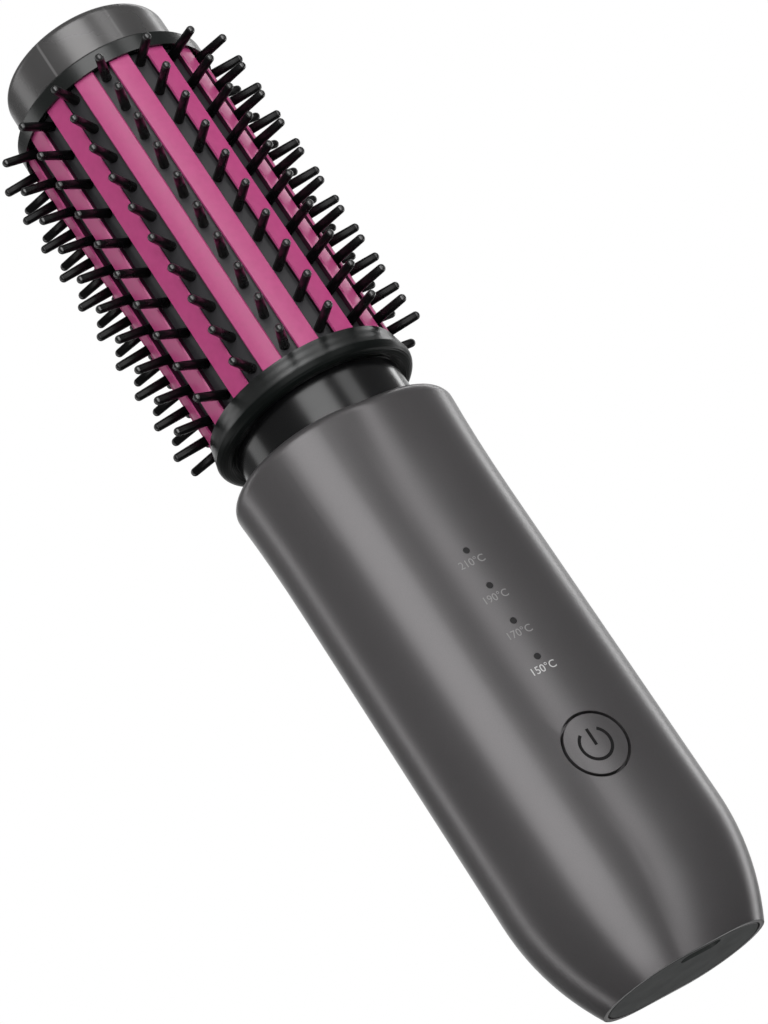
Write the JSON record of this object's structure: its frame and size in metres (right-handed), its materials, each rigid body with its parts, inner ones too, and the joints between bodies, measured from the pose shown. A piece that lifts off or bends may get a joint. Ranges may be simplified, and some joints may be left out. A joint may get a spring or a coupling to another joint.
{
  "type": "cordless heated round hair brush",
  "caption": "Cordless heated round brush: coated ribs with rows of bristles between them on a barrel, a cool tip, and a battery handle with a push button and indicator lights.",
  "frame": {"origin": "centre of the flat bottom face of the handle", "axes": "+Z along the handle and barrel towards the cool tip, -Y out of the button side, +X to the right seen from the button side"},
  "size_m": [0.06, 0.06, 0.2422],
  "materials": {
    "handle_coat": "satin dark grey metallic coating on moulded plastic",
    "end_cap_grey": "satin grey moulded plastic",
    "inner_plastic": "plain moulded plastic",
    "cell_wrap": null,
    "plated_steel": "nickel-plated",
    "circuit_board": "green solder mask",
    "led_lens": "moulded lamp",
    "light_pipe": "smoke-tinted clear moulding",
    "neck_gloss": "polished black",
    "seal_rubber": "soft black",
    "flange_black": "satin black heat-resistant moulding",
    "rib_coat": "smooth pink ceramic coating on an aluminium extrusion",
    "heat_insulator": "plain insulating disc",
    "bare_aluminium": "as extruded",
    "heater_ceramic": "heating plate in amber insulating film",
    "sensor_glass": "glass-sealed bead",
    "lead_sleeve": "heat-proof sleeve",
    "cap_coat": "satin dark grey metallic coating on moulded plastic",
    "bristle_nylon": "heat-proof black nylon"
  },
  "bodies": {
    "brush": {"handle_sleeve": "handle_coat", "end_plate": "end_cap_grey", "chassis": "inner_plastic", "battery_cell_left": "cell_wrap", "battery_cell_right": "cell_wrap", "cell_tabs": "plated_steel", "main_board": "circuit_board", "board_screws": "plated_steel", "charging_socket": "plated_steel", "switch_housing": "inner_plastic", "status_leds": "led_lens", "board_components": "inner_plastic", "light_guide": "light_pipe", "neck_collar": "neck_gloss", "neck_seal": "seal_rubber", "lower_flange": "flange_black", "neck_screws": "plated_steel", "heating_barrel": "rib_coat", "heat_barrier": "heat_insulator", "heat_spreader_front": "bare_aluminium", "heat_spreader_rear": "bare_aluminium", "ptc_heater": "heater_ceramic", "thermistor": "sensor_glass", "thermal_fuse": "plated_steel", "heater_leads": "lead_sleeve", "barrel_screws": "plated_steel", "tip_ring": "flange_black", "tip_insulator": "heat_insulator", "tip_screws": "plated_steel", "cool_tip_cap": "cap_coat", "bristle_row_01": "bristle_nylon", "bristle_row_02": "bristle_nylon", "bristle_row_03": "bristle_nylon", "bristle_row_04": "bristle_nylon", "bristle_row_05": "bristle_nylon", "bristle_row_06": "bristle_nylon", "bristle_row_07": "bristle_nylon", "bristle_row_08": "bristle_nylon", "bristle_row_09": "bristle_nylon", "bristle_row_10": "bristle_nylon", "bristle_row_11": "bristle_nylon", "bristle_row_12": "bristle_nylon", "bristle_row_13": "bristle_nylon", "bristle_row_14": "bristle_nylon", "bristle_row_15": "bristle_nylon", "bristle_row_16": "bristle_nylon"},
    "button": {"power_button": "handle_coat"},
    "plunger": {"switch_plunger": "inner_plastic"}
  },
  "joints": [
    {"name": "button_press", "type": "slide", "parent": "brush", "child": "button", "axis": [0, 1, 0], "range_m": [0, 0.0004], "stiffness_N_per_m": 1500},
    {"name": "plunger_press", "type": "slide", "parent": "brush", "child": "plunger", "axis": [0, 1, 0], "range_m": [0, 0.0004]}
  ],
  "couplings": [
    {"joint": "plunger_press", "follows": "button_press", "ratio": 1}
  ]
}
